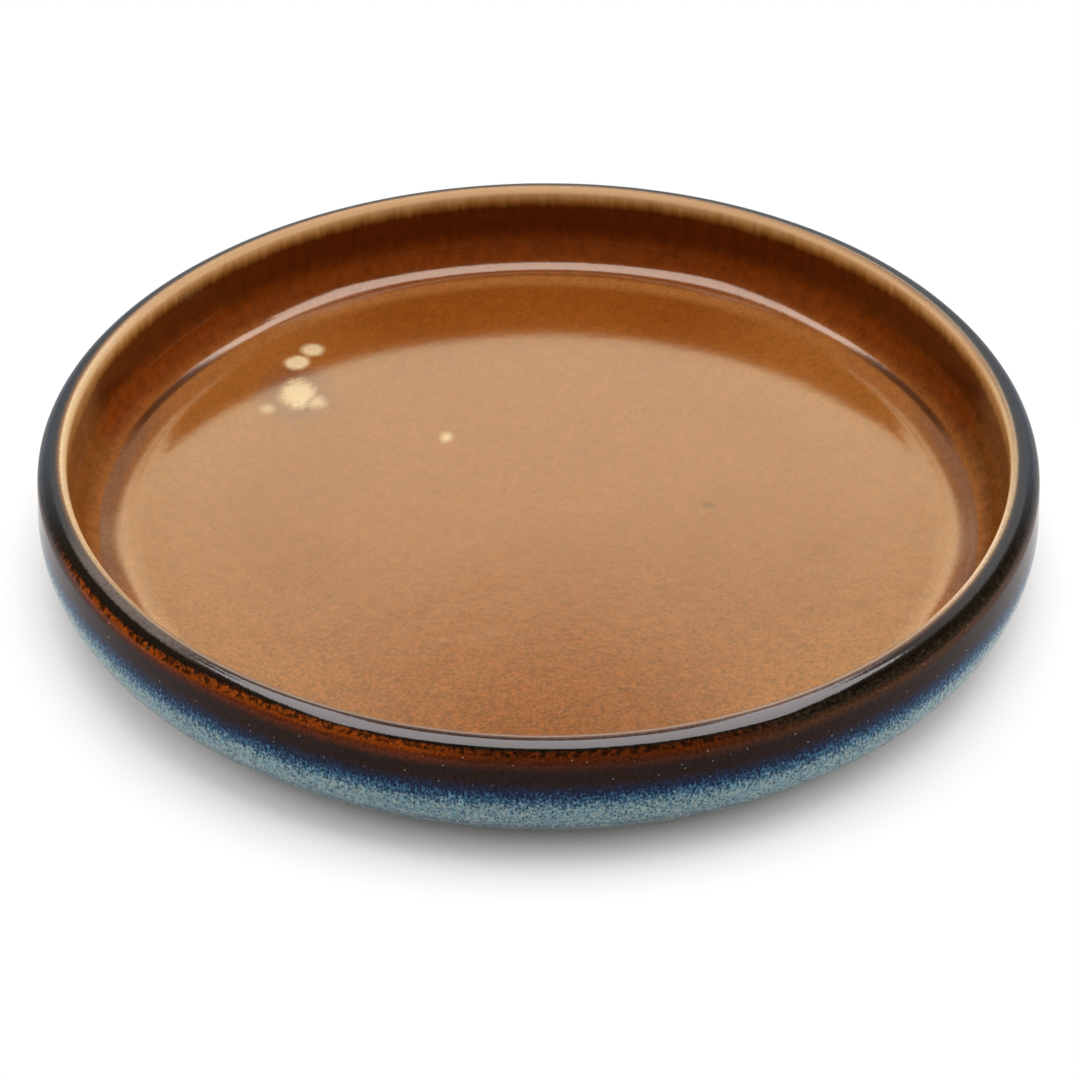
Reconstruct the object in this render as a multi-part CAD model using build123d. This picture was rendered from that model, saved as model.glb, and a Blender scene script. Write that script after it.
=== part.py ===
from build123d import *
from math import atan2, cos, degrees, hypot, radians, sin, sqrt
import os

# Glazed stoneware plant saucer, millimetres, standing on its foot ring at z = 0, turned about +Z.

# Overall form
saucer_diameter = 180.0      # widest point of the outside wall
saucer_height = 23.6         # table to the crown of the lip
lip_inset = 0.4              # how far the lip stands inside the widest point
lip_thickness = 5.4          # outside of the lip to the inside wall
crown_width = 0.1            # level land on top of the lip
clay_edge_radius = 0.6       # rounding of the clay along the inner edge of the lip
base_rounding = 11.0         # outside wall into the underside
floor_thickness = 4.0        # underside to the floor of the well
floor_easing_radius = 30.0   # gentle rise at the edge of the floor
floor_easing_angle = 14.0    # slope at which the rise turns into the corner
well_fillet = 7.0            # corner below the inside wall

# Foot ring
foot_height = 2.0            # table to the underside
foot_inset = 11.0            # base rounding to the outside of the foot ring
foot_width = 5.0
foot_chamfer = 0.6           # sponged edges of the foot ring

# Glaze
glaze_thickness = 0.6
lip_coat_width = 3.8         # over the crown and the upper shoulder
iron_band_width = 5.8        # from the lip coat down the outside wall
bare_margin = 4.0            # wiped clay between a glaze edge and the foot ring

# Worked out from the driving dimensions
outer_radius = saucer_diameter / 2
lip_outer_radius = outer_radius - lip_inset
inner_radius = lip_outer_radius - lip_thickness
edge_radius = clay_edge_radius + glaze_thickness
shoulder_radius = lip_thickness - crown_width - edge_radius
floor_level = foot_height + floor_thickness
clay_underside = foot_height + glaze_thickness
foot_outer_radius = outer_radius - base_rounding - foot_inset
foot_inner_radius = foot_outer_radius - foot_width

edge_center = (inner_radius + edge_radius, saucer_height - edge_radius)
shoulder_center = (lip_outer_radius - shoulder_radius, saucer_height - shoulder_radius)
base_center = (outer_radius - base_rounding, foot_height + base_rounding)


def easing_center():
    # The rise is level where it leaves the floor and has the corner's slope where it meets the corner.
    slope = radians(floor_easing_angle)
    corner_start = inner_radius - well_fillet * (1 - sin(slope))
    return corner_start - floor_easing_radius * sin(slope), floor_level + floor_easing_radius


def fillet_center():
    # The corner carries on from the rise and ends upright at the inside wall.
    rise = (floor_easing_radius - well_fillet) * (1 - cos(radians(floor_easing_angle)))
    return inner_radius - well_fillet, floor_level + well_fillet + rise


def wall_angle():
    # Direction, above level, that the straight wall faces when it is tangent to shoulder and base.
    across = base_center[0] - shoulder_center[0]
    down = shoulder_center[1] - base_center[1]
    span = hypot(across, down)
    grow = base_rounding - shoulder_radius
    return degrees(atan2(across, down) + atan2(grow, sqrt(span**2 - grow**2)))


class ArcStretch:
    # Round stretch of the section. The clay lies towards the center, or away from it when hollow.
    def __init__(self, center, radius, start, end, hollow=False):
        self.center, self.radius = center, radius
        self.start, self.sweep = start, end - start
        self.clay_side = 1 if hollow else -1
        self.length = radians(abs(self.sweep)) * radius

    def cut(self, first, last, depth):
        radius = self.radius + self.clay_side * depth
        begin = self.start + self.sweep * first / self.length
        return CenterArc(self.center, radius, begin, self.sweep * (last - first) / self.length)


class LineStretch:
    # Straight stretch of the section. The clay lies to the right of its run.
    def __init__(self, start, end):
        self.start, self.end = Vector(*start), Vector(*end)
        self.length = (self.end - self.start).length
        self.run = (self.end - self.start).normalized()
        self.to_clay = self.run.rotate(Axis.Z, -90)

    def cut(self, first, last, depth):
        shift = self.to_clay * depth
        return Line(self.start + self.run * first + shift, self.start + self.run * last + shift)


facing = wall_angle()
shoulder = ArcStretch(shoulder_center, shoulder_radius, 90, facing)
base = ArcStretch(base_center, base_rounding, facing, -90)
crown = LineStretch((edge_center[0], saucer_height), (shoulder_center[0], saucer_height))
wall = LineStretch(shoulder.cut(0, shoulder.length, 0) @ 1, base.cut(0, base.length, 0) @ 0)
glaze_line = (foot_outer_radius + bare_margin, foot_height)

# The finished skin, from the middle of the well over the lip to the glaze line on the underside.
easing_end = floor_easing_angle - 90
well_skin = [
    LineStretch((0, floor_level), (easing_center()[0], floor_level)),
    ArcStretch(easing_center(), floor_easing_radius, -90, easing_end, hollow=True),
    ArcStretch(fillet_center(), well_fillet, easing_end, 0, hollow=True),
    LineStretch((inner_radius, fillet_center()[1]), (inner_radius, edge_center[1])),
    ArcStretch(edge_center, edge_radius, 180, 90),
]
outside_skin = [
    crown,
    shoulder,
    wall,
    base,
    LineStretch((base_center[0], foot_height), glaze_line),
]


def skin_length(skin):
    return sum(stretch.length for stretch in skin)


# Each coat with the stretch of skin that it covers, in the order they meet.
iron_start = lip_coat_width
blue_start = iron_start + iron_band_width
coats = {
    "well_glaze": (well_skin, 0, skin_length(well_skin)),
    "lip_glaze": (outside_skin, 0, iron_start),
    "iron_band_glaze": (outside_skin, iron_start, blue_start),
    "blue_wall_glaze": (outside_skin, blue_start, skin_length(outside_skin)),
}


def along(skin, first, last, depth):
    # Edges of the skin between two distances along it, lowered into the saucer by depth.
    edges, passed = [], 0
    for stretch in skin:
        begin = max(first - passed, 0)
        end = min(last - passed, stretch.length)
        if end > begin:
            edges.append(stretch.cut(begin, end, depth))
        passed += stretch.length
    return edges


def turned(edges):
    return revolve(Plane.XZ * make_face(edges), Axis.Z)


def make_coat(skin, first, last):
    # The ring of glaze between the finished skin and the clay below it.
    top = along(skin, first, last, 0)
    bottom = along(skin, first, last, glaze_thickness)
    ends = [Line(top[0] @ 0, bottom[0] @ 0), Line(top[-1] @ 1, bottom[-1] @ 1)]
    return turned(top + bottom + ends)


def make_clay_body():
    surface = []
    for skin, first, last in coats.values():
        surface += along(skin, first, last, glaze_thickness)
    foot = Polyline(
        surface[-1] @ 1,
        (foot_outer_radius, clay_underside),
        (foot_outer_radius, foot_chamfer),
        (foot_outer_radius - foot_chamfer, 0),
        (foot_inner_radius + foot_chamfer, 0),
        (foot_inner_radius, foot_chamfer),
        (foot_inner_radius, clay_underside),
        (0, clay_underside),
        surface[0] @ 0,
    )
    return turned(surface + foot.edges())


def make_underside_glaze():
    coat_radius = foot_inner_radius - bare_margin
    disc = Cylinder(coat_radius, glaze_thickness, align=(Align.CENTER, Align.CENTER, Align.MIN))
    return Pos(0, 0, foot_height) * disc


nodes = {name: make_coat(*span) for name, span in coats.items()}
nodes["underside_glaze"] = make_underside_glaze()
nodes["clay_body"] = make_clay_body()

os.makedirs("parts", exist_ok=True)
for name, solid in nodes.items():
    solid.label = name
    export_step(solid, f"parts/{name}.step")
    box = solid.bounding_box()
    print(f"{name}: {solid.volume:.1f} mm3, z {box.min.Z:.2f} to {box.max.Z:.2f}")
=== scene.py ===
import math

import bpy
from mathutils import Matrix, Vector


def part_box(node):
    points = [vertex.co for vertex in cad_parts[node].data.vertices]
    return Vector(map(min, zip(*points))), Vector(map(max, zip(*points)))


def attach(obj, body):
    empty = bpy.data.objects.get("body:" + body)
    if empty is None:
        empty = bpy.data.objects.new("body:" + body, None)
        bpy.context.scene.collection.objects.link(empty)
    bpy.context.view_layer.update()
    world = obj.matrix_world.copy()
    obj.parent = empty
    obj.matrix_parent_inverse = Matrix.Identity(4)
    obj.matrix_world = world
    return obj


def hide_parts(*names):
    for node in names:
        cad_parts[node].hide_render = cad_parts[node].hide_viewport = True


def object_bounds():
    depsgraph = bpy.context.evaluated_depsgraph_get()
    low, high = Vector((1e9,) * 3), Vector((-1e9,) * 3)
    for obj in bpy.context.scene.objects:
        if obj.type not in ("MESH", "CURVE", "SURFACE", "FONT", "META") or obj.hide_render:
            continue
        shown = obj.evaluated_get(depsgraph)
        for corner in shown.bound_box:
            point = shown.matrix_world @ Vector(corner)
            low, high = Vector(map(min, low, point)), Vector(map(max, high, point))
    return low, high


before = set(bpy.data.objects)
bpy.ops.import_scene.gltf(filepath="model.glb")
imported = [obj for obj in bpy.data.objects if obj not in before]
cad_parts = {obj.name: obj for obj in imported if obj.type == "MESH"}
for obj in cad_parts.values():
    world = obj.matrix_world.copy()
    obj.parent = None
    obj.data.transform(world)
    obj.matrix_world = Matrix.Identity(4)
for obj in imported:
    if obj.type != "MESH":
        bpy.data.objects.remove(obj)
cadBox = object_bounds()
scene = bpy.context.scene
mm = 0.001
print("frame loaded with", ", ".join(sorted(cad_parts)))


def paint(red, green, blue):
    # an 8-bit display colour as the linear colour that a socket takes
    def linear(value):
        share = value / 255
        return share / 12.92 if share <= 0.04045 else ((share + 0.055) / 1.055) ** 2.4
    return (linear(red), linear(green), linear(blue), 1.0)


# the camera stands where the photograph was taken from
cameraSetup = {
    "lens": 116.22,               # mm, on a sensor 36 mm wide
    "sensor": 36.0,
    "distance": 0.63,
    "elevation": 35.433,          # degrees above the table
    "aimHeight": 0.015,           # point on the saucer's axis that the next two values place
    "aimPixel": (538.10, 470.55),
    "framePixels": 1080,
}


def setUpCamera(setup):
    pixelsPerTangent = setup["framePixels"] * setup["lens"] / setup["sensor"]
    middle = setup["framePixels"] / 2
    elevation = math.radians(setup["elevation"])
    pitch = elevation + math.atan((middle - setup["aimPixel"][1]) / pixelsPerTangent)
    yaw = math.atan((middle - setup["aimPixel"][0]) / pixelsPerTangent)
    data = bpy.data.cameras.new("camera")
    data.lens = setup["lens"]
    data.sensor_width = setup["sensor"]
    data.clip_start = 0.01
    camera = bpy.data.objects.new("camera", data)
    away = Vector((0, -math.cos(elevation), math.sin(elevation)))
    camera.location = Vector((0, 0, setup["aimHeight"])) + away * setup["distance"]
    camera.rotation_euler = (math.radians(90) - pitch, 0, -yaw)
    scene.collection.objects.link(camera)
    scene.camera = camera


setUpCamera(cameraSetup)
print("camera placed")


class Wire:
    # a socket that Python expressions can be written with, in shader and geometry trees alike
    def __init__(self, tree, socket=None):
        self.tree = tree
        self.socket = socket

    def node(self, kind, settings=None, sockets=None, out=0):
        made = self.tree.nodes.new(kind)
        for key, value in (settings or {}).items():
            setattr(made, key, value)
        for key, value in (sockets or {}).items():
            if isinstance(value, Wire):
                self.tree.links.new(value.socket, made.inputs[key])
            else:
                made.inputs[key].default_value = value
        return Wire(self.tree, made.outputs[out])

    def also(self, out):
        return Wire(self.tree, self.socket.node.outputs[out])

    def math(self, operation, *values):
        return self.node("ShaderNodeMath", {"operation": operation}, dict(enumerate(values)))

    def vector(self, operation, *values):
        return self.node("ShaderNodeVectorMath", {"operation": operation}, dict(enumerate(values)))

    def scaled(self, factor):
        return self.node("ShaderNodeVectorMath", {"operation": "SCALE"}, {0: self, "Scale": factor})

    def part(self, axis):
        return self.node("ShaderNodeSeparateXYZ", None, {0: self}, axis)

    def joined(self, x, y, z):
        return self.node("ShaderNodeCombineXYZ", None, {0: x, 1: y, 2: z})

    def smooth(self, start, end):
        ends = {"Value": self, "From Min": start, "From Max": end}
        return self.node("ShaderNodeMapRange", {"interpolation_type": "SMOOTHSTEP"}, ends)

    def between(self, rise, fall):
        return self.smooth(*rise) * (1 - self.smooth(*fall))

    def mixed(self, factor, first, second):
        return self.node("ShaderNodeMix", {"data_type": "RGBA"}, {0: factor, 6: first, 7: second}, 2)

    def noise(self, where, scale, detail=2.0, roughness=0.5):
        how = {"Vector": where, "Scale": scale, "Detail": detail, "Roughness": roughness}
        return self.node("ShaderNodeTexNoise", None, how)

    def sway(self, where, scale, detail=2.0, roughness=0.5):
        # noise about zero
        return self.noise(where, scale, detail, roughness) - 0.5

    def cells(self, where, scale):
        return self.node("ShaderNodeTexVoronoi", None, {"Vector": where, "Scale": scale})

    def away(self, across, along):
        return self.math("SQRT", across * across + along * along)

    def __add__(self, other):
        return self.math("ADD", self, other)

    def __radd__(self, other):
        return self.math("ADD", other, self)

    def __sub__(self, other):
        return self.math("SUBTRACT", self, other)

    def __rsub__(self, other):
        return self.math("SUBTRACT", other, self)

    def __mul__(self, other):
        return self.math("MULTIPLY", self, other)

    def __truediv__(self, other):
        return self.math("DIVIDE", self, other)


# the saucer's section, in metres: what the frame shows is read from it
undersideLow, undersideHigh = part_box("underside_glaze")
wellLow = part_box("well_glaze")[0]
saucer = {
    "radius": cadBox[1].x,
    "height": cadBox[1].z,
    "glaze": undersideHigh.z - undersideLow.z,
    "footHeight": undersideLow.z,
    "undersideCoat": undersideHigh.x,
    "lipInset": 0.4 * mm,
    "lipThickness": 5.4 * mm,
    "crownWidth": 0.1 * mm,
    "innerEdge": 1.2 * mm,
    "baseRounding": 11.0 * mm,
    "easing": 30.0 * mm,          # gentle rise at the edge of the floor
    "easingAngle": 14.0,          # degrees, where the rise turns into the corner
    "wellFillet": 7.0 * mm,
    "footInset": 11.0 * mm,
    "footWidth": 5.0 * mm,
    "footChamfer": 0.6 * mm,
    "bareMargin": 4.0 * mm,
    "lipCoat": 3.8 * mm,
    "ironBand": 5.8 * mm,
}
rowPitch = {"floor": 2.0 * mm, "bend": 0.5 * mm, "wall": 0.6 * mm, "lip": 0.12 * mm, "under": 1.5 * mm}


class RoundRun:
    # arc of the section; the clay lies towards its center, or away from it when hollow
    def __init__(self, center, radius, start, end, pitch, hollow=False):
        self.center, self.radius, self.pitch = center, radius, pitch
        self.start, self.sweep = math.radians(start), math.radians(end - start)
        self.side = -1 if hollow else 1
        self.length = abs(self.sweep) * radius

    def at(self, distance):
        angle = self.start + self.sweep * distance / self.length
        across, up = math.cos(angle), math.sin(angle)
        place = (self.center[0] + self.radius * across, self.center[1] + self.radius * up)
        return place, (self.side * across, self.side * up)


class StraightRun:
    # line of the section; the clay lies to the right of its run
    def __init__(self, start, end, pitch):
        self.start, self.pitch = start, pitch
        across, up = end[0] - start[0], end[1] - start[1]
        self.length = math.hypot(across, up)
        self.run = (across / self.length, up / self.length)

    def at(self, distance):
        place = (self.start[0] + self.run[0] * distance, self.start[1] + self.run[1] * distance)
        return place, (-self.run[1], self.run[0])


def skinRuns(size):
    # the finished skin as two strings of runs that meet at the inner end of the lip's crown
    floorLevel = wellLow.z + size["glaze"]
    lipRadius = size["radius"] - size["lipInset"]
    innerRadius = lipRadius - size["lipThickness"]
    shoulderRadius = size["lipThickness"] - size["crownWidth"] - size["innerEdge"]
    edge = (innerRadius + size["innerEdge"], size["height"] - size["innerEdge"])
    slope = math.radians(size["easingAngle"])
    cornerStart = innerRadius - size["wellFillet"] * (1 - math.sin(slope))
    easing = (cornerStart - size["easing"] * math.sin(slope), floorLevel + size["easing"])
    rise = (size["easing"] - size["wellFillet"]) * (1 - math.cos(slope))
    fillet = (innerRadius - size["wellFillet"], floorLevel + size["wellFillet"] + rise)
    turn = size["easingAngle"] - 90
    shoulder = (lipRadius - shoulderRadius, size["height"] - shoulderRadius)
    base = (size["radius"] - size["baseRounding"], size["footHeight"] + size["baseRounding"])
    across, down = base[0] - shoulder[0], shoulder[1] - base[1]
    grow = size["baseRounding"] - shoulderRadius
    slant = math.sqrt(across ** 2 + down ** 2 - grow ** 2)
    facing = math.degrees(math.atan2(across, down) + math.atan2(grow, slant))
    glazeLine = size["radius"] - size["baseRounding"] - size["footInset"] + size["bareMargin"]
    shoulderRun = RoundRun(shoulder, shoulderRadius, 90, facing, rowPitch["lip"])
    baseRun = RoundRun(base, size["baseRounding"], facing, -90, rowPitch["bend"])
    wallTop, wallFoot = shoulderRun.at(shoulderRun.length)[0], baseRun.at(0)[0]
    well = [
        StraightRun((0, floorLevel), (easing[0], floorLevel), rowPitch["floor"]),
        RoundRun(easing, size["easing"], -90, turn, rowPitch["bend"], hollow=True),
        RoundRun(fillet, size["wellFillet"], turn, 0, rowPitch["bend"], hollow=True),
        StraightRun((innerRadius, fillet[1]), (innerRadius, edge[1]), rowPitch["wall"]),
        RoundRun(edge, size["innerEdge"], 180, 90, rowPitch["lip"]),
    ]
    outside = [
        StraightRun((edge[0], size["height"]), (shoulder[0], size["height"]), rowPitch["lip"]),
        shoulderRun,
        StraightRun(wallTop, wallFoot, rowPitch["wall"]),
        baseRun,
        StraightRun((base[0], size["footHeight"]), (glazeLine, size["footHeight"]), rowPitch["under"]),
    ]
    return well, outside


def skinLength(skin):
    return sum(run.length for run in skin)


def coatRows(skin, first, last, travelStart, depth=0.0, coarser=1):
    # rows of a coat as place, outward lean and travel from the crown, lowered into the saucer by depth
    rows, passed = [], 0.0
    for run in skin:
        begin, end = max(first - passed, 0.0), min(last - passed, run.length)
        if end > begin:
            steps = max(1, math.ceil((end - begin) / run.pitch / coarser))
            for step in range(1 if rows else 0, steps + 1):
                distance = begin + (end - begin) * step / steps
                (across, up), lean = run.at(distance)
                place = (across - lean[0] * depth, up - lean[1] * depth)
                rows.append((place, lean, passed + distance + travelStart))
        passed += run.length
    return rows


wellSkin, outsideSkin = skinRuns(saucer)
ironStart = saucer["lipCoat"]
blueStart = ironStart + saucer["ironBand"]
coats = {
    "well_glaze": (wellSkin, 0.0, skinLength(wellSkin), -skinLength(wellSkin)),
    "lip_glaze": (outsideSkin, 0.0, ironStart, 0.0),
    "iron_band_glaze": (outsideSkin, ironStart, blueStart, 0.0),
    "blue_wall_glaze": (outsideSkin, blueStart, skinLength(outsideSkin), 0.0),
}


def coatLoop(coat):
    # the whole outline of a coat: its skin, and the seat on the clay below it
    top = coatRows(*coat)
    seat = coatRows(*coat, depth=saucer["glaze"], coarser=4)
    onAxis = top[0][0][0] == 0.0
    return top + seat[::-1] + ([] if onAxis else top[:1])


def straightRows(corners, pitch):
    # rows along a polyline of the section that leans out square to its runs
    rows, travel = [], skinLength(outsideSkin)
    for start, end in zip(corners, corners[1:]):
        run = StraightRun(start, end, pitch)
        steps = max(1, math.ceil(run.length / pitch))
        for step in range(steps + 1):
            place, lean = run.at(run.length * step / steps)
            rows.append((place, lean, travel + run.length * step / steps))
        travel += run.length
    return rows


def clayLoop():
    seats = [coatRows(*coat, depth=saucer["glaze"]) for coat in coats.values()]
    surface = [row for seat in seats for row in seat]
    footOuter = saucer["radius"] - saucer["baseRounding"] - saucer["footInset"]
    footInner = footOuter - saucer["footWidth"]
    underside = saucer["footHeight"] + saucer["glaze"]
    chamfer = saucer["footChamfer"]
    foot = [
        surface[-1][0],
        (footOuter, underside),
        (footOuter, chamfer),
        (footOuter - chamfer, 0.0),
        (footInner + chamfer, 0.0),
        (footInner, chamfer),
        (footInner, underside),
        (0.0, underside),
    ]
    return surface + straightRows(foot, rowPitch["under"])


def undersideLoop():
    low, high, edge = undersideLow.z, undersideHigh.z, saucer["undersideCoat"]
    corners = [(0.0, high), (edge, high), (edge, low), (0.0, low)]
    return straightRows(corners, rowPitch["floor"])


# every piece is turned on the same wheel, so that they stay seated on each other
wheel = {
    "Segments": 512,
    "Out Of Round": 0.4 * mm,     # three soft lobes that the kiln left
    "Full Radius": saucer["radius"],
    "Ripple": 0.10 * mm,          # height of the soft unevenness of hand-dipped glaze
    "Ripple Scale": 70.0,         # waves to the metre
}
lobeCount = 3
lobeFade = 4                      # power of the radius by which they fade towards the middle


def buildWheelTree():
    tree = bpy.data.node_groups.new("turnOnWheel", "GeometryNodeTree")
    tree.interface.new_socket("Geometry", in_out="OUTPUT", socket_type="NodeSocketGeometry")
    tree.interface.new_socket("Geometry", in_out="INPUT", socket_type="NodeSocketGeometry")
    for name, value in wheel.items():
        kind = "NodeSocketInt" if isinstance(value, int) else "NodeSocketFloat"
        tree.interface.new_socket(name, in_out="INPUT", socket_type=kind)
    tree.interface.new_socket("Finish", in_out="INPUT", socket_type="NodeSocketMaterial")
    start = Wire(tree)
    section = start.node("NodeGroupInput", out="Geometry")
    segments, lobes = section.also("Segments"), section.also("Out Of Round")
    rowCount = start.node("GeometryNodeAttributeDomainSize", None, {0: section})
    columns = segments + 1
    grid = start.node("GeometryNodeMeshGrid", None, {"Vertices X": rowCount, "Vertices Y": columns})
    index = start.node("GeometryNodeInputIndex")
    row = start.math("FLOOR", (index + 0.5) / columns)
    angle = (index - row * columns) / segments * math.tau

    def fromRow(kind, value):
        how = {"data_type": kind, "domain": "POINT"}
        return start.node("GeometryNodeSampleIndex", how, {0: section, "Value": value, "Index": row})

    place = fromRow("FLOAT_VECTOR", start.node("GeometryNodeInputPosition"))
    named = {"data_type": "FLOAT_VECTOR"}
    lean = fromRow("FLOAT_VECTOR", start.node("GeometryNodeInputNamedAttribute", named, {0: "lean"}))
    named = {"data_type": "FLOAT"}
    travel = fromRow("FLOAT", start.node("GeometryNodeInputNamedAttribute", named, {0: "travel"}))
    cosine, sine = start.math("COSINE", angle), start.math("SINE", angle)
    share = start.math("POWER", place.part(0) / section.also("Full Radius"), lobeFade)
    radius = place.part(0) + lobes * share * (cosine - start.math("COSINE", angle * lobeCount))
    turned = start.joined(radius * cosine, radius * sine, place.part(2))
    outward = start.joined(lean.part(0) * cosine, lean.part(0) * sine, lean.part(2))
    ripple = start.noise(turned, section.also("Ripple Scale"), 1.0) - 0.5
    inward = start.math("MINIMUM", ripple, 0.0) * section.also("Ripple")
    shaped = start.vector("ADD", turned, outward.scaled(inward))
    mesh = start.node("GeometryNodeSetPosition", None, {0: grid, "Position": shaped})
    how = {"data_type": "FLOAT", "domain": "POINT"}
    kept = {0: mesh, "Name": "travel", "Value": travel}
    mesh = start.node("GeometryNodeStoreNamedAttribute", how, kept)
    mesh = start.node("GeometryNodeMergeByDistance", None, {0: mesh, "Distance": 1e-6})
    mesh = start.node("GeometryNodeSetShadeSmooth", None, {0: mesh})
    mesh = start.node("GeometryNodeRealizeInstances", None, {0: mesh})
    mesh = start.node("GeometryNodeSetMaterial", None, {0: mesh, "Material": section.also("Finish")})
    tree.links.new(mesh.socket, tree.nodes.new("NodeGroupOutput").inputs[0])
    return tree


wheelTree = buildWheelTree()
sharpEdge = math.radians(40)


def turnPiece(name, rows, finish):
    # the section's rows become points, and the wheel turns them into a closed piece
    sectionMesh = bpy.data.meshes.new(name + "Section")
    sectionMesh.from_pydata([(place[0], 0.0, place[1]) for place, lean, travel in rows], [], [])
    sectionMesh.attributes.new("lean", "FLOAT_VECTOR", "POINT")
    sectionMesh.attributes.new("travel", "FLOAT", "POINT")
    for index, (place, lean, travel) in enumerate(rows):
        sectionMesh.attributes["lean"].data[index].vector = (lean[0], 0.0, lean[1])
        sectionMesh.attributes["travel"].data[index].value = travel / mm
    piece = bpy.data.objects.new(name, sectionMesh)
    scene.collection.objects.link(piece)
    modifier = piece.modifiers.new("turnOnWheel", "NODES")
    modifier.node_group = wheelTree
    for item in wheelTree.interface.items_tree:
        if item.in_out == "INPUT" and item.name in wheel:
            modifier[item.identifier] = wheel[item.name]
        if item.in_out == "INPUT" and item.name == "Finish":
            modifier[item.identifier] = finish
    evaluated = piece.evaluated_get(bpy.context.evaluated_depsgraph_get())
    turnedMesh = bpy.data.meshes.new_from_object(evaluated)
    piece.modifiers.remove(modifier)
    piece.data = turnedMesh
    turnedMesh.name = name
    turnedMesh.set_sharp_from_angle(angle=sharpEdge)
    bpy.data.meshes.remove(sectionMesh)
    return piece


def newFinish(name, constants):
    # a material with its surface shader; what is the same all over is set on the shader's own sockets
    material = bpy.data.materials.new(name)
    material.use_nodes = True
    tree = material.node_tree
    shader = next(node for node in tree.nodes if node.type == "BSDF_PRINCIPLED")
    for socket, value in constants.items():
        shader.inputs[socket].default_value = value
    return material, Wire(tree), shader


def feed(shader, socket, wire):
    wire.tree.links.new(wire.socket, shader.inputs[socket])


def feedBump(shader, start, bump, height, below=None):
    sockets = dict(bump, Height=height)
    if below is not None:
        sockets["Normal"] = below
    feed(shader, "Normal", start.node("ShaderNodeBump", None, sockets))


def uneven(start, place, rough):
    return rough["least"] + start.noise(place, *rough["noise"]) * rough["more"]


def millimetres(start):
    return start.node("ShaderNodeTexCoord", out="Object").scaled(1 / mm)


def travelOf(start):
    return start.node("ShaderNodeAttribute", {"attribute_name": "travel"}, out="Fac")


# in the looks below a span, rise or fall is where a change begins and ends, in mm or as a share,
# and a noise is its waves to the mm, its detail and its roughness

# the lip's inner edge, where cream turns brown and then slate: mm of travel from the border between them
edgeGlaze = {
    "cream": paint(182, 142, 102),
    "tinge": paint(134, 94, 64),
    "slate": paint(67, 66, 66),
    "frontTinge": paint(130, 100, 88),
    "frontSlate": paint(44, 33, 28),
    "frontSpan": (40.0, 75.0),    # mm in front of the middle where the slate turns brown
    "frontSofter": 0.45,          # mm that it takes over more slowly there
    "tingeSpan": (-0.7, 0.25),
    "slateFrom": -0.1,
    "slateTo": 0.95,
    "level": -0.18,               # mm of travel from the crown to the border
    "ragged": 0.3,
    "raggedNoise": (1.3, 3.0, 0.6),
    "raggedTravel": 0.3,          # share of the travel that the noise runs with, which draws it out
}
edgeWaves = {                     # how the hand-dipped border rises and falls round the saucer
    "once": {"turns": 1, "height": 0.30, "phase": 127},
    "twice": {"turns": 2, "height": 0.18, "phase": -100},
    "thrice": {"turns": 3, "height": 0.10, "phase": -138},
}


def lipEdge(start, place, travel):
    # travel from the border, wherever that lies at this place
    look = edgeGlaze
    x, y = place.part(0), place.part(1)
    angle = start.math("ARCTAN2", y, x)
    drawnOut = start.joined(x, y, travel * look["raggedTravel"])
    ragged = start.sway(drawnOut, *look["raggedNoise"])
    edge = travel - look["level"] + ragged * (2 * look["ragged"])
    for wave in edgeWaves.values():
        turned = angle * wave["turns"] - math.radians(wave["phase"])
        edge = edge - start.math("COSINE", turned) * wave["height"]
    return edge


def overTheLip(start, colour, place, edge):
    look = edgeGlaze
    front = (0 - place.part(1)).smooth(*look["frontSpan"])
    slate = start.mixed(front, look["slate"], look["frontSlate"])
    tinge = start.mixed(front, look["tinge"], look["frontTinge"])
    colour = start.mixed(edge.smooth(*look["tingeSpan"]), colour, tinge)
    slateTo = look["slateTo"] + front * look["frontSofter"]
    return start.mixed(edge.smooth(look["slateFrom"], slateTo), colour, slate)


# outside glazes: each band takes over from the one above it along so many mm of travel from the crown
outsideBands = {
    "black": {"colour": paint(26, 20, 13), "span": (1.7, 2.3), "feather": 0.4, "grain": 0.1, "tilt": 0.4},
    "amber": {"colour": paint(124, 55, 11), "middle": paint(80, 33, 7), "sides": paint(40, 32, 22),
              "span": (2.6, 3.2), "feather": 0.5, "grain": 0.3},
    "iron": {"colour": paint(84, 37, 17), "middle": paint(68, 31, 16), "sides": paint(66, 40, 24),
             "span": (3.8, 4.8), "feather": 0.6, "grain": 0.4},
    "darkIron": {"colour": paint(34, 19, 14), "span": (4.8, 6.8), "feather": 0.8, "grain": 0.4},
    "navy": {"colour": paint(23, 34, 60), "span": (8.5, 10.9), "feather": 1.2, "grain": 1.4},
    "blue": {"colour": paint(46, 82, 108), "span": (10.8, 12.4), "feather": 1.6, "grain": 3.0},
    "pale": {"colour": paint(98, 128, 138), "span": (12.5, 14.1), "feather": 1.8, "grain": 3.4},
    # painted shade: the shade band darkens the glaze towards the foot, where the wall turns under away from
    # the light
    "shade": {"colour": paint(60, 86, 99), "span": (16.8, 19.6), "feather": 1.0, "grain": 1.4},
}
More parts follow.
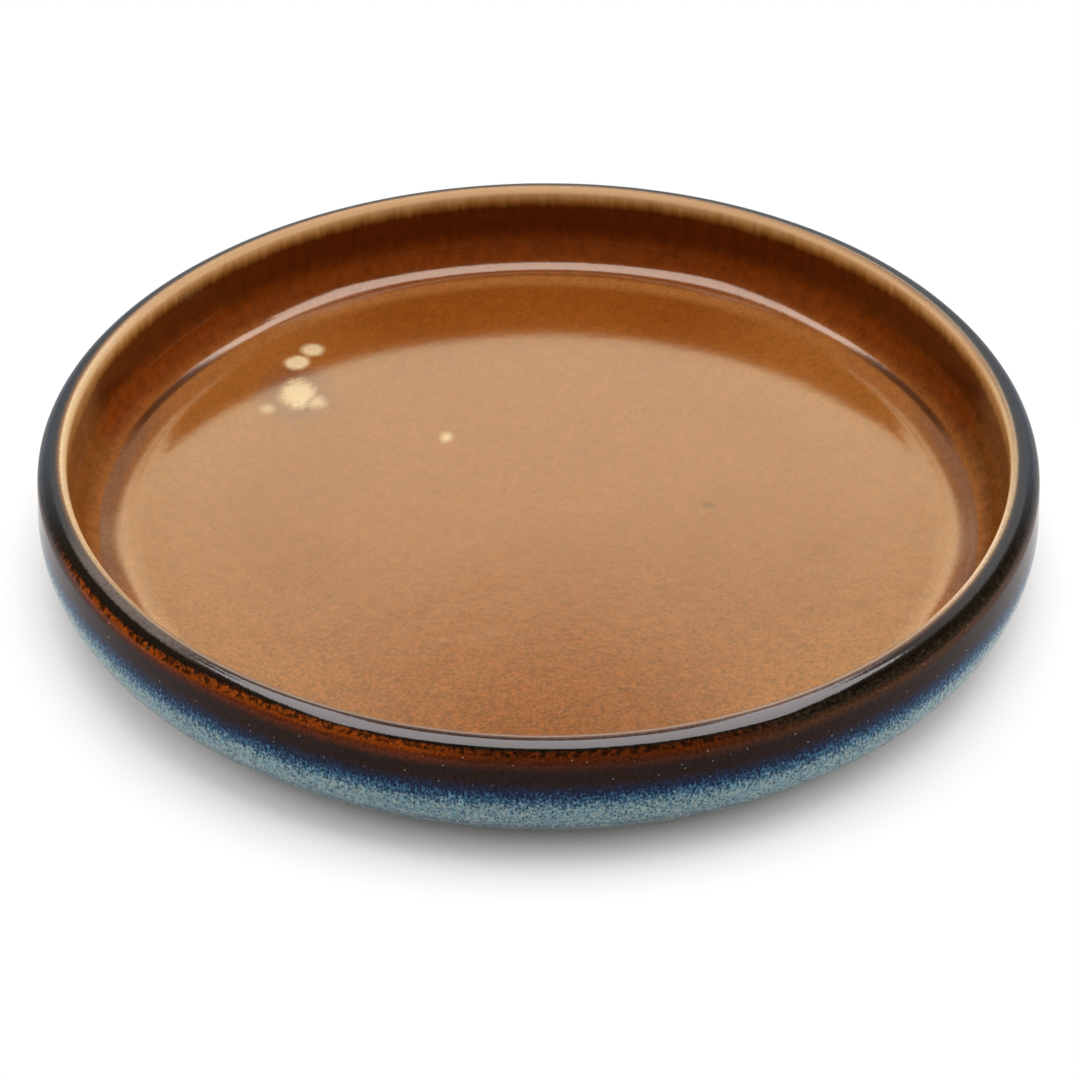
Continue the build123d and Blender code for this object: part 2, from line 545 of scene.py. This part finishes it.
outsideGlaze = {
    "lower": 0.9,                 # mm that the amber and iron lie lower at the left
    "lowerSpan": (-74.0, -42.0),
    "middleSpan": (-22.0, -6.0),  # mm across the saucer where the upper bands darken
    "rightSpan": (24.0, 44.0),    # and where they turn olive, at the right and at the left
    "leftSpan": (-85.0, -76.0),
    "dipTilt": 0.3,               # mm that the borders lie lower at the right, less a band's own tilt there
    "drift": 0.4,                 # mm that they wander round the saucer
    "driftNoise": (0.025, 1.0),
    "featherNoise": (1.8, 4.0, 0.7),
    "featherTravel": 0.5,         # shares of the travel that the noises run with
    "streakTravel": 0.3,
    "speckTravel": 0.75,
    "grainNoise": (2.4, 2.0, 0.6),
    "grainShade": 2.4,            # how strongly the grain lightens and darkens the glaze
    "grainSpan": (2.2, 3.0),
    # painted sheen: a flecked paler stretch of the lip, for the pale reflection it shows there
    "paintedSheen": {"colour": paint(106, 94, 86), "at": (-73.0, -52.0), "span": (11.2, 28.0), "rise": (0.1, 0.5),
              "flecks": {"noise": (1.6, 2.0, 0.6), "span": (0.35, 0.6), "least": 0.45, "more": 0.5}},
    # dark blocks in the amber
    "blocks": {"colour": paint(16, 9, 4), "noise": (1.0, 3.0, 0.65), "span": (0.43, 0.58),
               "rise": (2.2, 2.6), "fall": (3.6, 4.1), "share": 0.85},
    # painted sheen: the lip's outer side on the back half is painted bluish slate for the blue sheen it
    # shows there
    "back": {"colour": paint(66, 71, 77), "span": (-36.0, 0.0), "rise": (1.2, 1.9), "fall": (3.8, 5.4),
             "share": 0.9},
    "paleZone": {"span": (12.0, 14.0), "feather": 4.0, "grain": 5.0},
    "palePatches": {
        "cream": {"colour": paint(158, 166, 152), "noise": (1.5, 3.0, 0.65), "span": (0.48, 0.62),
                  "share": 0.6},
        "deep": {"colour": paint(50, 84, 106), "noise": (1.9, 3.0, 0.7), "span": (0.53, 0.66),
                 "share": 0.6},
    },
    # dark specks in the blue, in cells; pick leaves some cells empty
    "specks": {"colour": paint(18, 38, 62), "scale": 1.7, "least": 0.18, "more": 0.28, "rim": (0.6, 1.0),
               "pick": (0.2, 0.4), "span": (10.6, 12.0), "feather": 4.0, "share": 0.85},
    # painted glints: bright specks in the brown, standing in for the glints of tiny bubbles
    "paintedGlints": {"colour": paint(176, 176, 170), "scale": 0.9, "rim": (0.06, 0.12), "pick": (0.5, 0.9),
               "rise": (3.6, 4.4), "fall": (10.4, 11.4), "share": 0.75},
    "rough": {"least": 0.06, "noise": (0.8, 2.0), "more": 0.06, "pale": 0.06},
    "peel": {"noise": (0.9, 2.0), "paleNoise": (2.2, 2.0), "pale": 0.35, "specks": 0.3},
    "bump": {"Strength": 0.12, "Distance": 0.12 * mm},
}


def bandedGlaze(name, gloss):
    material, start, shader = newFinish(name, gloss)
    place, travel = millimetres(start), travelOf(start)
    x, y = place.part(0), place.part(1)
    look = outsideGlaze
    streakPlace = start.joined(x, y, travel * look["streakTravel"])
    speckPlace = start.joined(x, y, travel * look["speckTravel"])
    featherPlace = start.joined(x, y, travel * look["featherTravel"])
    drift = start.sway(start.joined(x, y, 0.0), *look["driftNoise"]) * (2 * look["drift"])
    feather = start.sway(featherPlace, *look["featherNoise"])
    grain = start.sway(speckPlace, *look["grainNoise"])
    perRadius = mm / saucer["radius"]
    shifted = travel + drift - x * (look["dipTilt"] * perRadius)
    middle = x.smooth(*look["middleSpan"])
    sides = start.math("MAXIMUM", x.smooth(*look["rightSpan"]), 1 - x.smooth(*look["leftSpan"]))
    lower = (1 - x.smooth(*look["lowerSpan"])) * look["lower"]
    colour = overTheLip(start, edgeGlaze["cream"], place, lipEdge(start, place, travel))
    # painted sheen mixed into the lip's colour
    paintedSheen, flecks = look["paintedSheen"], look["paintedSheen"]["flecks"]
    near = 1 - start.away(x - paintedSheen["at"][0], y - paintedSheen["at"][1]).smooth(*paintedSheen["span"])
    flecked = start.noise(streakPlace, *flecks["noise"]).smooth(*flecks["span"])
    flecked = flecks["least"] + flecked * flecks["more"]
    colour = start.mixed(near * travel.smooth(*paintedSheen["rise"]) * flecked, colour, paintedSheen["colour"])
    for band in outsideBands.values():
        here = shifted + feather * (band["feather"] * 2) + grain * (band["grain"] * 2)
        own = band["colour"]
        if "tilt" in band:
            here = here + start.math("MAXIMUM", x, 0.0) * (band["tilt"] * perRadius)
        if "sides" in band:
            here = here - lower
            own = start.mixed(sides, start.mixed(middle, own, band["middle"]), band["sides"])
        colour = start.mixed(here.smooth(*band["span"]), colour, own)
    blocks, back = look["blocks"], look["back"]
    dark = start.noise(streakPlace, *blocks["noise"]).smooth(*blocks["span"])
    dark = dark * (travel - lower).between(blocks["rise"], blocks["fall"])
    colour = start.mixed(dark * blocks["share"], colour, blocks["colour"])
    # painted sheen on the outer side of the lip's back half
    behind = y.smooth(*back["span"]) * travel.smooth(*back["rise"]) * (1 - shifted.smooth(*back["fall"]))
    colour = start.mixed(behind * back["share"], colour, back["colour"])
    colour = colour.scaled(1 + grain * travel.smooth(*look["grainSpan"]) * look["grainShade"])
    zone = look["paleZone"]
    pale = (shifted + feather * zone["feather"] + grain * zone["grain"]).smooth(*zone["span"])
    for patch in look["palePatches"].values():
        patches = start.noise(speckPlace, *patch["noise"]).smooth(*patch["span"])
        colour = start.mixed(patches * pale * patch["share"], colour, patch["colour"])
    specks = look["specks"]
    cells = start.cells(speckPlace, specks["scale"])
    size = cells.also(1).part(0)
    spots = 1 - (cells / (specks["least"] + size * specks["more"])).smooth(*specks["rim"])
    spots = spots * size.smooth(*specks["pick"])
    spots = spots * (shifted + feather * specks["feather"]).smooth(*specks["span"])
    colour = start.mixed(spots * specks["share"], colour, specks["colour"])
    # painted glints mixed into the colour
    paintedGlints = look["paintedGlints"]
    cells = start.cells(speckPlace, paintedGlints["scale"])
    bright = (1 - cells.smooth(*paintedGlints["rim"])) * cells.also(1).part(1).smooth(*paintedGlints["pick"])
    bright = bright * travel.between(paintedGlints["rise"], paintedGlints["fall"])
    colour = start.mixed(bright * paintedGlints["share"], colour, paintedGlints["colour"])
    feed(shader, "Base Color", colour)
    feed(shader, "Roughness", uneven(start, place, look["rough"]) + pale * look["rough"]["pale"])
    peel = look["peel"]
    height = start.noise(place, *peel["noise"])
    height = height + start.noise(speckPlace, *peel["paleNoise"]) * pale * peel["pale"]
    feedBump(shader, start, look["bump"], height - spots * peel["specks"])
    return material


# amber glaze of the well, from the floor up the wall to the lip; at the two sides its layers are painted
# paler, for the light and reflection that the side walls catch, which sideways tells as the share of the
# distance from the middle that is left or right
wellGlaze = {
    "floor": paint(131, 69, 20),
    # where it ran thick
    "deep": {"colour": paint(120, 58, 14), "noise": (0.05, 3.0), "gain": 2.2, "shift": 0.3, "share": 0.5},
    # painted reflection: the floor's left and right edges are painted paler for the pale reflection they
    # show, by mm from the middle
    "rim": {"colour": paint(160, 98, 42), "span": (48.0, 76.0), "sideways": (0.35, 0.75), "share": 0.55},
    # paler ring at the back edge of the floor
    "ring": {"colour": paint(160, 100, 48), "rise": (-24.0, -21.3), "fall": (-20.6, -19.4),
             "backSpan": (45.0, 70.0), "share": 0.8},
    # floor's edge below the corner at the two sides
    "mauve": {"colour": paint(122, 80, 54), "rise": (-24.6, -20.6), "fall": (-19.3, -18.9),
              "sideways": (0.86, 0.98), "share": 0.9},
    # painted shade: a dark line along the corner behind those two
    "paintedCornerShade": {"colour": paint(64, 28, 7), "at": -19.2, "span": (0.3, 1.1),
                 "rise": (0.72, 0.84), "fall": (0.93, 0.99), "share": 0.85},
    "sideways": (0.955, 0.995),
    "foot": {"colour": paint(114, 50, 7), "side": paint(118, 66, 23), "span": (-20.5, -15.0)},
    "wall": {"colour": paint(76, 27, 2), "side": paint(124, 80, 42), "span": (-14.5, -8.5)},
    "ochre": {"colour": paint(160, 112, 52), "side": paint(172, 124, 70), "span": (-4.9, -2.4),
              "deeper": 1.2},     # mm further down at the sides, where the side layers are painted paler for the light there
    "cream": {"colour": paint(206, 164, 114), "side": paint(208, 170, 118), "span": (-3.4, -1.3)},
    # over the rounding to the lip
    "crest": {"colour": paint(178, 138, 98), "side": paint(206, 176, 136), "front": paint(148, 110, 80),
              "span": (-1.6, -0.6)},
    "streaks": {"noise": (0.8, 2.0, 0.5), "travel": 0.2, "wall": 0.4, "border": 1.6},
    # grain that is stronger towards the front
    "fine": {"noise": (1.6, 3.0, 0.65), "least": 0.9, "more": 1.6, "frontSpan": (0.0, 70.0)},
    "mottle": {"noise": (0.42, 2.0, 0.55), "least": 0.35, "wall": 0.5},
    # painted shade: the wall at the right is painted darker by this share
    "right": {"span": (58.0, 82.0), "darker": 0.28},
    "crawl": {"colour": paint(217, 190, 144), "noise": (0.42, 3.0, 0.6), "fine": 0.3, "fall": (-22.0, -20.0),
              "share": 0.95, "grain": 0.8},
    "halo": {"colour": paint(100, 60, 54), "soft": 3.2, "grow": 2.0, "share": 0.6},
    # the crest at the back has less gloss
    "dull": {"rise": (-2.4, -1.2), "backSpan": (10.0, 50.0), "share": 0.85},
    "rough": {"least": 0.09, "noise": (0.5, 2.0), "more": 0.06, "bare": 0.25},
    "peel": {"noise": (0.45, 2.0), "fine": 0.25, "bare": 0.8, "pit": 0.8},
    "bump": {"Strength": 0.10, "Distance": 0.15 * mm},
    # the glaze turns up more in the corner at the two sides
    "corner": {"rise": (-25.0, -18.4), "sideways": (0.6, 0.98),
               "bump": {"Strength": 1.0, "Distance": 0.95 * mm}},
}
paintedCrestHighlights = {                    # painted highlights: stretches of the crest painted pale where the rounded edge mirrors bright light
    "left": {"at": (-84.0, -12.0), "span": (22.0, 58.0), "colour": paint(206, 174, 132)},
    "right": {"at": (77.0, -36.0), "span": (6.0, 34.0), "colour": paint(243, 216, 182)},
}
crawls = {                        # bare pale spots where the glaze drew back: place and radius in mm
    "upper": {"at": (-43.9, 53.1), "radius": 2.1, "long": 1.0, "ragged": 0.8, "soft": 0.9, "bare": 0.85},
    "lower": {"at": (-46.7, 48.7), "radius": 2.3, "long": 1.0, "ragged": 0.7, "soft": 0.9, "bare": 0.9},
    "wide": {"at": (-46.1, 37.6), "radius": 3.1, "long": 1.4, "ragged": 1.7, "soft": 1.3, "bare": 0.92},
    "corner": {"at": (-42.3, 35.0), "radius": 1.5, "long": 1.2, "ragged": 1.2, "soft": 1.3, "bare": 0.75},
    "side": {"at": (-51.3, 32.9), "radius": 1.3, "long": 1.1, "ragged": 1.1, "soft": 1.0, "bare": 0.62},
    "tiny": {"at": (-17.3, 23.3), "radius": 1.0, "long": 1.3, "ragged": 0.9, "soft": 0.9, "bare": 0.7},
}
pinhole = {"at": (31.1, 1.5), "radius": 1.0, "long": 1.0, "ragged": 0.8, "soft": 0.6, "share": 0.6,
           "colour": paint(70, 44, 28)}


def spotMask(place, spot, ragged, soft, grow=1.0):
    across = place.part(0) - spot["at"][0]
    along = (place.part(1) - spot["at"][1]) / spot["long"]
    reach = place.away(across, along) + ragged * (2 * spot["ragged"])
    return 1 - reach.smooth(spot["radius"] * grow - soft, spot["radius"] * grow + soft)


def amberGlaze(name, gloss):
    material, start, shader = newFinish(name, gloss)
    place, travel = millimetres(start), travelOf(start)
    look = wellGlaze
    x, y = place.part(0), place.part(1)
    reach = start.away(x, y)
    sideways = start.math("ABSOLUTE", x) / (reach + 0.001)   # never divides by zero
    side = sideways.smooth(*look["sideways"])

    # painted light: a layer turns to its paler side copy where the side walls catch more light and
    # reflection
    def withLitSides(layer):
        return start.mixed(side, layer["colour"], layer["side"])

    streaks, grit, mottle, right = look["streaks"], look["fine"], look["mottle"], look["right"]
    streak = start.sway(start.joined(x, y, travel * streaks["travel"]), *streaks["noise"])
    fine = start.sway(place, *grit["noise"])
    deep, rim, ring = look["deep"], look["rim"], look["ring"]
    thick = (start.sway(place, *deep["noise"]) * deep["gain"] + deep["shift"]).smooth(0.0, 1.0)
    colour = start.mixed(thick * deep["share"], look["floor"], deep["colour"])
    # painted reflection: the floor's side edges painted paler
    edge = reach.smooth(*rim["span"]) * sideways.smooth(*rim["sideways"])
    colour = start.mixed(edge * rim["share"], colour, rim["colour"])
    edge = travel.between(ring["rise"], ring["fall"]) * y.smooth(*ring["backSpan"])
    colour = start.mixed(edge * ring["share"], colour, ring["colour"])
    onWall = travel.smooth(*look["foot"]["span"])
    colour = start.mixed(onWall, colour, withLitSides(look["foot"]))
    colour = start.mixed(travel.smooth(*look["wall"]["span"]), colour, withLitSides(look["wall"]))
    mauve, paintedCornerShade = look["mauve"], look["paintedCornerShade"]
    edge = travel.between(mauve["rise"], mauve["fall"]) * sideways.smooth(*mauve["sideways"])
    colour = start.mixed(edge * mauve["share"], colour, mauve["colour"])
    # painted shade along the corner at the sides
    cornerShadeLine = 1 - start.math("ABSOLUTE", travel - paintedCornerShade["at"]).smooth(*paintedCornerShade["span"])
    cornerShadeLine = cornerShadeLine * sideways.between(paintedCornerShade["rise"], paintedCornerShade["fall"])
    colour = start.mixed(cornerShadeLine * paintedCornerShade["share"], colour, paintedCornerShade["colour"])
    shade = 1 + fine * (grit["least"] + (0 - y).smooth(*grit["frontSpan"]) * grit["more"])
    shade = shade + start.sway(place, *mottle["noise"]) * (mottle["least"] + onWall * mottle["wall"])
    shade = shade + streak * onWall * streaks["wall"]
    # painted shade: the right wall is scaled darker, along with the grain and mottle
    colour = colour.scaled(shade - x.smooth(*right["span"]) * onWall * right["darker"])
    ochre, cream, crest = look["ochre"], look["cream"], look["crest"]
    upTo = travel + streak * streaks["border"]
    colour = start.mixed((upTo + side * ochre["deeper"]).smooth(*ochre["span"]), colour, withLitSides(ochre))
    colour = start.mixed(upTo.smooth(*cream["span"]), colour, withLitSides(cream))
    front = (0 - y).smooth(*edgeGlaze["frontSpan"])
    crestColour = start.mixed(front, withLitSides(crest), crest["front"])
    # painted highlights on the crest
    for spot in paintedCrestHighlights.values():
        near = 1 - start.away(x - spot["at"][0], y - spot["at"][1]).smooth(*spot["span"])
        crestColour = start.mixed(near, crestColour, spot["colour"])
    colour = start.mixed(travel.smooth(*crest["span"]), colour, crestColour)
    colour = overTheLip(start, colour, place, lipEdge(start, place, travel))
    crawl, halo = look["crawl"], look["halo"]
    ragged = start.sway(place, *crawl["noise"])
    around = spotMask(place, crawls["wide"], ragged, halo["soft"], halo["grow"])
    colour = start.mixed(around * halo["share"], colour, halo["colour"])
    bare = 0.0
    for spot in crawls.values():
        mask = spotMask(place, spot, ragged + fine * crawl["fine"], spot["soft"]) * spot["bare"]
        bare = start.math("MAXIMUM", bare, mask)
    bare = bare * (1 - travel.smooth(*crawl["fall"]))
    colour = start.mixed(bare * (crawl["share"] + fine * crawl["grain"]), colour, crawl["colour"])
    pit = spotMask(place, pinhole, ragged, pinhole["soft"])
    colour = start.mixed(pit * pinhole["share"], colour, pinhole["colour"])
    feed(shader, "Base Color", colour)
    dull, rough, peel, corner = look["dull"], look["rough"], look["peel"], look["corner"]
    dulled = travel.smooth(*dull["rise"]) * y.smooth(*dull["backSpan"]) * dull["share"]
    feed(shader, "Roughness", uneven(start, place, rough) + bare * rough["bare"] + dulled)
    turnUp = travel.smooth(*corner["rise"]) * sideways.smooth(*corner["sideways"])
    turnUp = start.node("ShaderNodeBump", None, dict(corner["bump"], Height=turnUp))
    height = start.noise(place, *peel["noise"]) + fine * peel["fine"]
    height = height - bare * peel["bare"] - pit * peel["pit"]
    feedBump(shader, start, look["bump"], height, turnUp)
    return material


undersideGlaze = {
    "thin": paint(150, 92, 46),
    "thick": paint(110, 58, 22),
    "thinSpan": (0.3, 0.9),
    "broadNoise": (0.06, 3.0),
    "ringNoise": (0.35, 2.0),     # rings left by the wheel
    "ringTone": 0.2,
    "ringHeight": 0.5,
    "rough": {"least": 0.12, "noise": (0.5, 2.0), "more": 0.1},
    "peelNoise": (0.6, 2.0),
    "bump": {"Strength": 0.1, "Distance": 0.15 * mm},
}


def undersideAmber(name, gloss):
    material, start, shader = newFinish(name, gloss)
    place = millimetres(start)
    look = undersideGlaze
    reach = place.vector("LENGTH", place).also("Value")
    rings = start.noise(start.joined(reach, 0.0, 0.0), *look["ringNoise"])
    tone = (rings * look["ringTone"] + start.noise(place, *look["broadNoise"])).smooth(*look["thinSpan"])
    feed(shader, "Base Color", start.mixed(tone, look["thick"], look["thin"]))
    feed(shader, "Roughness", uneven(start, place, look["rough"]))
    height = start.noise(place, *look["peelNoise"]) + rings * look["ringHeight"]
    feedBump(shader, start, look["bump"], height)
    return material


firedClay = {
    "body": paint(206, 184, 156),
    "toast": {"colour": paint(178, 140, 104), "noise": (0.05, 3.0), "span": (0.35, 0.7), "share": 0.7},
    "grog": {"colour": paint(120, 92, 68), "scale": 0.9, "rim": (0.1, 0.24), "pick": (0.6, 0.7),
             "share": 0.6, "depth": 0.3},
    "rough": {"least": 0.78, "noise": (1.5, 2.0), "more": 0.15},
    "sandNoise": (3.0, 3.0, 0.7),
    "bump": {"Strength": 0.35, "Distance": 0.12 * mm},
}


def bareClay(name, gloss):
    material, start, shader = newFinish(name, gloss)
    place = millimetres(start)
    look = firedClay
    toast, grog = look["toast"], look["grog"]
    toasted = start.noise(place, *toast["noise"]).smooth(*toast["span"])
    colour = start.mixed(toasted * toast["share"], look["body"], toast["colour"])
    grains = start.cells(place, grog["scale"])
    spots = (1 - grains.smooth(*grog["rim"])) * grains.also(1).part(0).smooth(*grog["pick"])
    feed(shader, "Base Color", start.mixed(spots * grog["share"], colour, grog["colour"]))
    feed(shader, "Roughness", uneven(start, place, look["rough"]))
    sand = start.noise(place, *look["sandNoise"]) - spots * grog["depth"]
    feedBump(shader, start, look["bump"], sand)
    return material


gloss = {
    "lip": {"IOR": 1.5, "Specular IOR Level": 0.42, "Specular Tint": (1.0, 0.97, 0.86, 1.0)},
    "outside": {"IOR": 1.5, "Specular IOR Level": 0.11},
    "well": {"IOR": 1.6, "Specular Tint": (1.0, 0.9, 0.65, 1.0)},
    "underside": {"IOR": 1.5},
    "clay": {"IOR": 1.45, "Specular IOR Level": 0.25},
}
pieces = {
    "clay_body": (clayLoop(), bareClay("firedClay", gloss["clay"]), "fired_clay"),
    "well_glaze": (coatLoop(coats["well_glaze"]), amberGlaze("amberGlaze", gloss["well"]), "amber_glaze"),
    "lip_glaze": (coatLoop(coats["lip_glaze"]), bandedGlaze("slateGlaze", gloss["lip"]), "slate_glaze"),
    "iron_band_glaze": (
        coatLoop(coats["iron_band_glaze"]), bandedGlaze("ironGlaze", gloss["outside"]), "iron_glaze"),
    "blue_wall_glaze": (
        coatLoop(coats["blue_wall_glaze"]), bandedGlaze("blueGlaze", gloss["outside"]), "blue_glaze"),
    "underside_glaze": (
        undersideLoop(), undersideAmber("undersideAmber", gloss["underside"]), "underside_amber_glaze"),
}
for node, (rows, finish, slotName) in pieces.items():
    piece = turnPiece(node.replace("_", "-"), rows, finish)
    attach(piece, "root")
    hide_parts(node)
    print("turned", piece.name, "with", len(piece.data.polygons), "faces")


# the table, white where the light reaches it
table = {
    "reach": 3.0,
    "colour": (0.94, 0.9, 0.87, 1.0),
    "whiteSpan": (0.0795, 0.114),   # metres from the middle
    "mirrored": 0.78,             # its level as the glaze mirrors it
    "mirroredBehind": 0.3,        # and behind the saucer
    "behindSpan": (0.0, 0.1),
}


white = (1.0, 1.0, 1.0, 1.0)


def emission(start, strength, colour=white):
    return start.node("ShaderNodeEmission", None, {"Color": colour, "Strength": strength})


def bareTree(name):
    material = bpy.data.materials.new(name)
    material.use_nodes = True
    tree = material.node_tree
    tree.nodes.remove(next(node for node in tree.nodes if node.type == "BSDF_PRINCIPLED"))
    return material, Wire(tree), next(node for node in tree.nodes if node.type == "OUTPUT_MATERIAL")


def seenDirectly(start):
    # 1 for what the camera, a reflection or a see-through surface sees
    path = start.node("ShaderNodeLightPath", out="Is Camera Ray")
    seen = start.math("MAXIMUM", path, path.also("Is Glossy Ray"))
    return start.math("MAXIMUM", seen, path.also("Is Transmission Ray"))


def addSheet(name, corners, material):
    mesh = bpy.data.meshes.new(name)
    mesh.from_pydata(corners, [], [range(len(corners))])
    mesh.materials.append(material)
    sheet = bpy.data.objects.new(name, mesh)
    scene.collection.objects.link(sheet)
    return sheet


def layTable():
    material, start, output = bareTree("tableWhite")
    place = start.node("ShaderNodeTexCoord", out="Object")
    reach = place.vector("LENGTH", place).also("Value")
    far = reach.smooth(*table["whiteSpan"]) * seenDirectly(start)
    matte = start.node("ShaderNodeBsdfDiffuse", None, {"Color": table["colour"]})
    direct = start.node("ShaderNodeLightPath", out="Is Camera Ray")
    behind = place.part(1).smooth(*table["behindSpan"])
    mirrored = table["mirrored"] + behind * (table["mirroredBehind"] - table["mirrored"])
    level = mirrored + direct * (1 - mirrored)
    surface = start.node("ShaderNodeMixShader", None, {0: far, 1: matte, 2: emission(start, level)})
    start.tree.links.new(surface.socket, output.inputs["Surface"])
    far = table["reach"]
    addSheet("table", [(-far, -far, 0), (far, -far, 0), (far, far, 0), (-far, far, 0)], material)


layTable()


# what the glaze mirrors, in metres: a tall white panel behind, a softbox overhead and the room
panels = {
    "back": {"distance": 0.9, "halfWidth": 0.32, "fadeSpan": (0.17, 0.32), "top": 0.913,
             "lowSpan": (0.38, 0.52), "level": 3.1, "colour": (1.0, 0.96, 0.74, 1.0),
             "dimSpan": (0.64, 0.8), "dim": 0.42},
    "notch": {"height": 0.87, "halfWidth": 0.08, "halfHeight": 0.12, "soft": 0.6, "depth": 0.6},
    "softbox": {"height": 1.3, "front": -0.37, "back": 0.9, "left": -0.72, "right": 0.86,
                "level": 6.5, "colour": (1.0, 0.97, 1.12, 1.0)},
    # black cards below it keep its back from the front lip and its middle from the back of the well
    "cards": {"height": 0.4, "halfWidth": 0.45, "front": 0.1, "back": 0.33,
              "edgeSpan": (0.115, 0.135), "middleSpan": (0.078, 0.102), "wingSpan": (0.172, 0.192)},
    "room": {"radius": 2.0, "dark": 0.02, "pale": 0.27, "bright": 0.34, "backSpan": (0.4, 1.3),
             "brightSpan": (0.3, 0.8), "ceilingSpan": (1.2, 1.4), "ceiling": 0.15,
             "sideSpan": (0.4, 0.8), "side": 0.2},
}


def mirrorOnly(sheet):
    sheet.visible_camera = False
    sheet.visible_diffuse = False
    sheet.visible_shadow = False
    sheet.visible_transmission = False


def hangBackPanel():
    look, notch = panels["back"], panels["notch"]
    material, start, output = bareTree("backPanel")
    place = start.node("ShaderNodeTexCoord", out="Object")
    across = place.part(0) / notch["halfWidth"]
    up = (place.part(2) - notch["height"]) / notch["halfHeight"]
    ring = start.away(across, up)
    notched = 1 - (1 - ring.smooth(1 - notch["soft"], 1 + notch["soft"])) * notch["depth"]
    side = 1 - start.math("ABSOLUTE", place.part(0)).smooth(*look["fadeSpan"])
    dimmed = 1 - place.part(2).smooth(*look["dimSpan"]) * look["dim"]
    low = place.part(2).smooth(*look["lowSpan"])
    glow = emission(start, notched * side * dimmed * low * look["level"], look["colour"])
    start.tree.links.new(glow.socket, output.inputs["Surface"])
    wide, far = look["halfWidth"], look["distance"]
    bottom, top = look["lowSpan"][0], look["top"]
    corners = [(-wide, far, bottom), (wide, far, bottom), (wide, far, top), (-wide, far, top)]
    mirrorOnly(addSheet("backPanel", corners, material))


def hangSoftbox():
    look = panels["softbox"]
    material, start, output = bareTree("softbox")
    glow = emission(start, look["level"], look["colour"])
    start.tree.links.new(glow.socket, output.inputs["Surface"])
    left, right, near, far = look["left"], look["right"], look["front"], look["back"]
    outline = [(left, near), (right, near), (right, far), (left, far)]
    mirrorOnly(addSheet("softbox", [(x, y, look["height"]) for x, y in outline], material))


def hangCards():
    # one card in the middle and one to each side, soft at their edges
    look = panels["cards"]
    material, start, output = bareTree("cards")
    place = start.node("ShaderNodeTexCoord", out="Object")
    across = start.math("ABSOLUTE", place.part(0))
    middle = 1 - across.smooth(*look["middleSpan"])
    card = start.math("MAXIMUM", middle, across.smooth(*look["wingSpan"]))
    card = card * place.part(1).smooth(*look["edgeSpan"])
    clear = start.node("ShaderNodeBsdfTransparent")
    black = start.node("ShaderNodeMixShader", None, {0: card, 1: clear, 2: emission(start, 0.0)})
    start.tree.links.new(black.socket, output.inputs["Surface"])
    wide, near, far = look["halfWidth"], look["front"], look["back"]
    outline = [(-wide, near), (wide, near), (wide, far), (-wide, far)]
    mirrorOnly(addSheet("cards", [(x, y, look["height"]) for x, y in outline], material))


def raiseRoom():
    # a pale wall at the back, dimmer to the sides, and an unlit front, seen only in the glaze
    look = panels["room"]
    material, start, output = bareTree("room")
    place = start.node("ShaderNodeTexCoord", out="Object")
    up = place.part(2)
    walls = look["pale"] + up.smooth(*look["brightSpan"]) * (look["bright"] - look["pale"])
    walls = walls * (1 - up.smooth(*look["ceilingSpan"]) * (1 - look["ceiling"]))
    sideways = start.math("ABSOLUTE", place.part(0))
    walls = walls * (1 - sideways.smooth(*look["sideSpan"]) * (1 - look["side"]))
    level = look["dark"] + place.part(1).smooth(*look["backSpan"]) * walls
    start.tree.links.new(emission(start, level).socket, output.inputs["Surface"])
    bpy.ops.mesh.primitive_uv_sphere_add(segments=32, ring_count=16, radius=look["radius"])
    room = bpy.context.object
    room.name = "room"
    room.data.materials.append(material)
    mirrorOnly(room)


hangBackPanel()
hangSoftbox()
hangCards()
raiseRoom()


# the light itself, at a plain level
lamps = {
    "overhead": {"at": (0.05, 0.1, 0.75), "size": (0.9, 0.7), "power": 4.0},
    "behind": {"at": (0, 0.9, 0.5), "size": (1.4, 0.8), "power": 3.0},
    "left": {"at": (-0.9, 0, 0.45), "size": (0.9, 0.6), "power": 4.0},
    "right": {"at": (0.9, 0, 0.45), "size": (0.9, 0.6), "power": 4.0},
}
lampAim = Vector((0, 0, 0))
skyLevel = 0.58


def hangLamp(name, look):
    data = bpy.data.lights.new(name, "AREA")
    data.shape = "RECTANGLE"
    data.size, data.size_y = look["size"]
    data.energy = look["power"]
    lamp = bpy.data.objects.new(name, data)
    lamp.location = look["at"]
    lamp.rotation_euler = (lampAim - Vector(look["at"])).to_track_quat("-Z", "Y").to_euler()
    lamp.visible_glossy = False
    lamp.visible_camera = False
    scene.collection.objects.link(lamp)


def setWorld():
    world = bpy.data.worlds.new("studio")
    world.use_nodes = True
    scene.world = world
    tree = world.node_tree
    start = Wire(tree)
    background = next(node for node in tree.nodes if node.type == "BACKGROUND")
    background.inputs["Color"].default_value = white
    seen = seenDirectly(start)
    tree.links.new((seen + (1 - seen) * skyLevel).socket, background.inputs["Strength"])


for name, look in lamps.items():
    hangLamp(name, look)
setWorld()
scene.view_settings.view_transform = "Standard"
print("stage lit")
